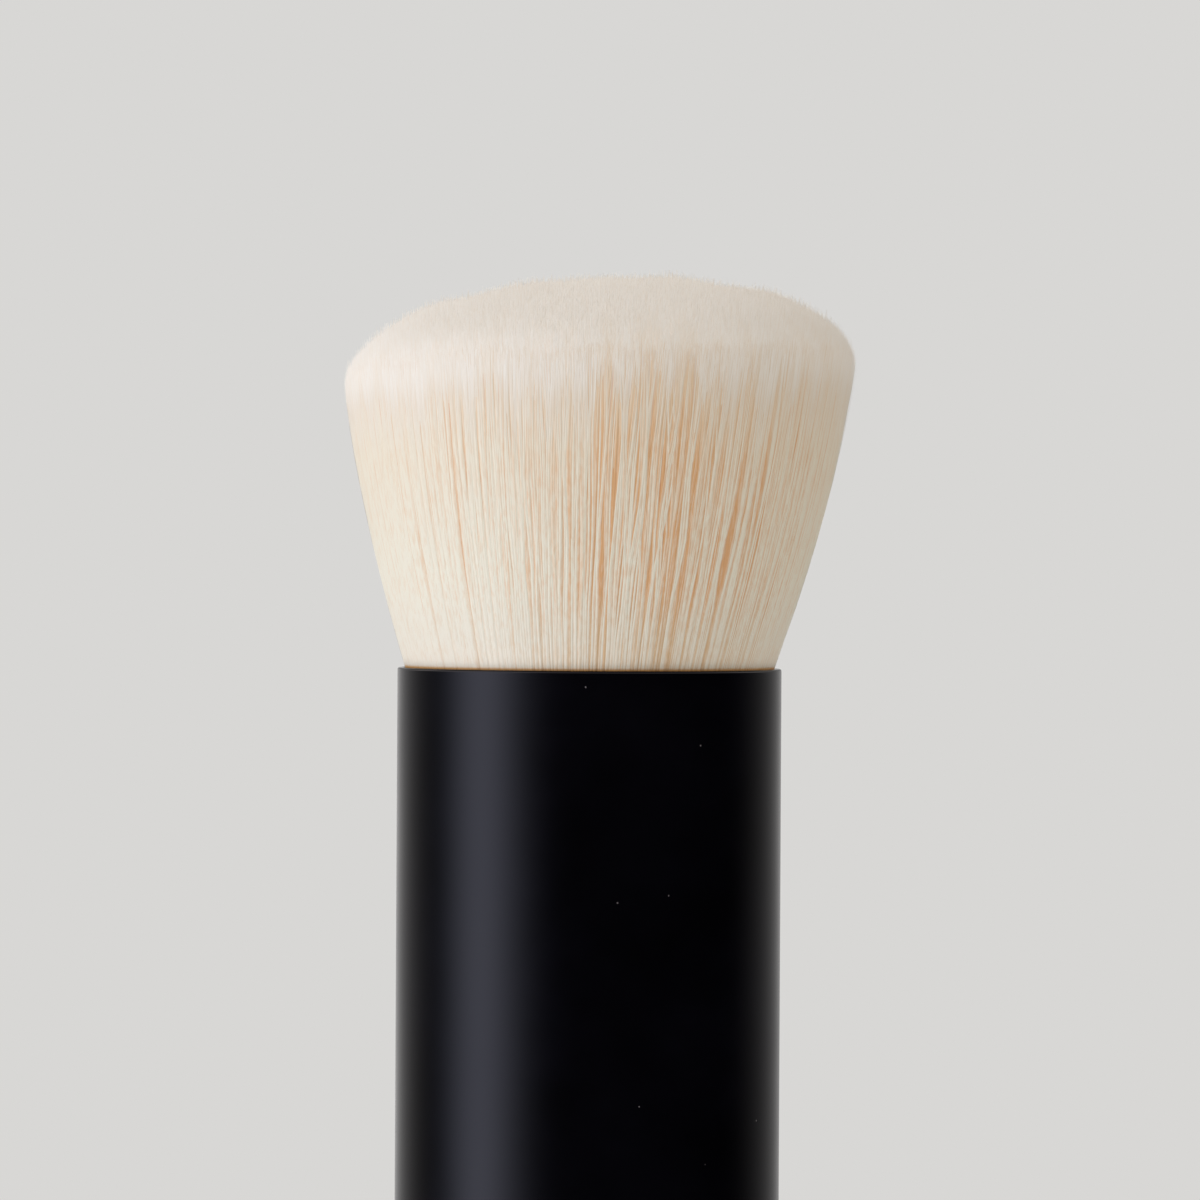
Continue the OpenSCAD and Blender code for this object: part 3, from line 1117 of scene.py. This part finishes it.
@dataclass
class Studio:
    """A pale seamless set, with one tall soft window of light on the left and soft light overhead.

    Distances are in metres. Bearings are in degrees round the brush, 0 toward the camera and
    positive to its left.
    """

    lens_mm: float = 125.7
    camera_at: tuple[float, float, float] = (0.00063, -0.262, 0.07625)
    roll: float = 0.31
    key_bearing: float = 65.5
    key_spread: float = 15.5
    key_light: float = 1.47
    back_light: float = 0.80
    back_power: float = 1.7
    wall_lean: float = 0.15
    top_light: float = 1.35
    zenith_light: float = 0.6
    low_light: float = 1.0
    soft_lean: float = 0.12
    lamp_power: float = 0.1
    floor_r: float = 0.15

    def camera(self) -> None:
        """Sets the camera where the photograph was taken from, level with the rim."""
        data = bpy.data.cameras.new("camera")
        data.lens = self.lens_mm
        data.sensor_width = 36.0
        data.clip_start = 0.01
        eye = bpy.data.objects.new("camera", data)
        eye.location = self.camera_at
        eye.rotation_euler = (math.radians(90), 0.0, 0.0)
        eye.rotation_euler.rotate_axis("Z", math.radians(self.roll))
        bpy.context.scene.collection.objects.link(eye)
        bpy.context.scene.camera = eye

    def backdrop(self) -> None:
        """Surrounds the set with its light: a window on the left, a bright wall behind the brush,
        darkness behind the camera, and soft light from above and from the table below."""
        world = bpy.data.worlds.new("studio")
        bpy.context.scene.world = world
        world.use_nodes = True
        tree = world.node_tree
        tree.nodes.clear()

        place = add_node(tree, "ShaderNodeTexCoord")
        parts = add_node(tree, "ShaderNodeSeparateXYZ", {}, {0: place.outputs["Generated"]})
        value: dict[str, Socket] = {axis: parts.outputs[axis.upper()] for axis in "xyz"}
        bands = (
            ("high_end", 0.7, 1.0, 1.0),
            ("low_end", -0.7, -1.0, 1.0),
            ("above", 0.16, 0.42, self.top_light),
            ("zenith", 0.6, 1.0, self.top_light - self.zenith_light),
            ("below", -0.28, -0.6, self.low_light),
        )
        for name, low, high, strength in bands:
            span = {"interpolation_type": "SMOOTHSTEP", "From Min": low, "From Max": high}
            span["To Max"] = strength
            value[name] = add_node(tree, "ShaderNodeMapRange", span, {"Value": value["z"]}).outputs[0]
        steps = (
            ("left", "MULTIPLY", "x", -1.0),
            ("toward", "MULTIPLY", "y", -1.0),
            ("turn", "ARCTAN2", "left", "toward"),
            ("bearing", "MULTIPLY", "turn", 180 / math.pi),
            ("ends", "MAXIMUM", "high_end", "low_end"),
            ("level", "SUBTRACT", 1.0, "ends"),
            ("off", "SUBTRACT", "bearing", self.key_bearing),
            ("spread", "DIVIDE", "off", self.key_spread),
            ("square", "MULTIPLY", "spread", "spread"),
            ("half", "MULTIPLY", "square", -0.5),
            ("bell", "EXPONENT", "half", 0.0),
            ("window", "MULTIPLY", "bell", "level"),
            ("key", "MULTIPLY", "window", self.key_light),
            ("away", "ABSOLUTE", "bearing", 0.0),
            ("past", "SUBTRACT", "away", 90.0),
            ("share", "DIVIDE", "past", 90.0),
            ("behind", "MAXIMUM", "share", 0.0),
            ("bright", "POWER", "behind", self.back_power),
            ("hand", "SIGN", "bearing", 0.0),
            ("uneven", "MULTIPLY_ADD", "hand", self.wall_lean, 1.0),
            ("sided", "MULTIPLY", "bright", "uneven"),
            ("even", "MULTIPLY", "sided", "level"),
            ("wall", "MULTIPLY", "even", self.back_light),
            ("slant", "MULTIPLY_ADD", "left", self.soft_lean, 1.0),
            ("ring", "SUBTRACT", "above", "zenith"),
            ("sky", "MULTIPLY", "ring", "slant"),
            ("table", "MULTIPLY", "below", "slant"),
        )
        for name, operation, *inputs in steps:
            fixed = {i: v for i, v in enumerate(inputs) if not isinstance(v, str)}
            linked = {i: value[v] for i, v in enumerate(inputs) if isinstance(v, str)}
            settings = {"operation": operation, **fixed}
            value[name] = add_node(tree, "ShaderNodeMath", settings, linked).outputs[0]
        lights = (
            (value["key"], (0.76, 0.83, 1.0)),
            (value["wall"], (1.0, 0.985, 0.975)),
            (value["sky"], (1.0, 0.95, 0.90)),
            (value["table"], (1.0, 0.96, 0.92)),
        )
        total = None
        for strength, colour in lights:
            settings = {"operation": "SCALE", 0: colour}
            tinted = add_node(tree, "ShaderNodeVectorMath", settings, {"Scale": strength}).outputs[0]
            if total is not None:
                both = {0: total, 1: tinted}
                tinted = add_node(tree, "ShaderNodeVectorMath", {"operation": "ADD"}, both).outputs[0]
            total = tinted
        lit = add_node(tree, "ShaderNodeBackground", {}, {"Color": total})
        seen = add_node(tree, "ShaderNodeBackground", {"Color": linear(BACKDROP)})
        path = add_node(tree, "ShaderNodeLightPath")
        links = {0: path.outputs["Is Camera Ray"], 1: lit.outputs[0], 2: seen.outputs[0]}
        mix = add_node(tree, "ShaderNodeMixShader", {}, links)
        add_node(tree, "ShaderNodeOutputWorld", {}, {"Surface": mix.outputs[0]})

    def overhead(self) -> None:
        """Hangs a broad soft lamp above the brush, a little to the camera's side."""
        data = bpy.data.lights.new("overhead", "AREA")
        data.shape = "SQUARE"
        data.size = 0.45
        data.energy = self.lamp_power
        data.color = (1.0, 0.95, 0.9)
        lamp = bpy.data.objects.new("overhead", data)
        lamp.location = (-0.06, -0.12, 0.62)
        aim = Vector((0.0, 0.0, 0.08)) - lamp.location
        lamp.rotation_euler = aim.to_track_quat("-Z", "Y").to_euler()
        lamp.visible_camera = False
        bpy.context.scene.collection.objects.link(lamp)

    def floor(self) -> None:
        """Lays a pale round floor that fades into the backdrop before its edge."""
        rings, around = 24, 96
        turn = np.linspace(0, math.tau, around, endpoint=False)
        reach = np.linspace(0.0, self.floor_r, rings + 1)[1:]
        verts = [(0.0, 0.0, 0.0)]
        verts += [(r * math.cos(a), r * math.sin(a), 0.0) for r in reach for a in turn]
        pairs = neighbours(around)
        faces = [(0, 1 + i, 1 + j) for i, j in pairs]
        faces += [
            (low + i, low + around + i, low + around + j, low + j)
            for low in range(1, 1 + (rings - 1) * around, around)
            for i, j in pairs
        ]
        mesh = bpy.data.meshes.new("floor")
        mesh.from_pydata(verts, [], faces)
        made = bpy.data.materials.new("painted_board_matt_white")
        made.use_nodes = True
        tree = made.node_tree
        tree.nodes.clear()
        far = add_node(tree, "ShaderNodeVectorMath", {"operation": "LENGTH"}, {0: millimetres(tree)})
        span = {"interpolation_type": "SMOOTHSTEP"}
        span |= {"From Min": 0.3 * self.floor_r / MM, "From Max": 0.95 * self.floor_r / MM}
        fade = add_node(tree, "ShaderNodeMapRange", span, {"Value": far.outputs["Value"]})
        board = add_node(tree, "ShaderNodeBsdfDiffuse", {"Color": linear("#DDDCDA")})
        glow = add_node(tree, "ShaderNodeEmission", {"Color": linear(BACKDROP)})
        links = {0: fade.outputs[0], 1: board.outputs[0], 2: glow.outputs[0]}
        mix = add_node(tree, "ShaderNodeMixShader", {}, links)
        add_node(tree, "ShaderNodeOutputMaterial", {}, {"Surface": mix.outputs[0]})
        mesh.materials.append(made)
        board_piece = bpy.data.objects.new("floor", mesh)
        bpy.context.scene.collection.objects.link(board_piece)
        board_piece.visible_glossy = False
        board_piece.visible_diffuse = False
        board_piece.visible_shadow = False

    def grade(self) -> None:
        """Keeps the colours as lit, with enough bounces for light to travel between filaments."""
        scene = bpy.context.scene
        scene.view_settings.view_transform = "Standard"
        scene.cycles.diffuse_bounces = 8
        scene.cycles.max_bounces = 12

    def build(self) -> None:
        """Sets up the whole studio."""
        self.camera()
        self.backdrop()
        self.overhead()
        self.floor()
        self.grade()
        LOG.info("set the studio")


def main() -> None:
    """Builds the brush and its studio."""
    logging.basicConfig(level=logging.INFO, format="%(name)s: %(message)s", stream=sys.stdout)
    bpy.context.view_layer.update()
    Studio().build()
    Barrel().build()
    BristleHead().build()
    Knot().build()
    Core().build()
    Foot().build()


if __name__ == "__main__":
    main()
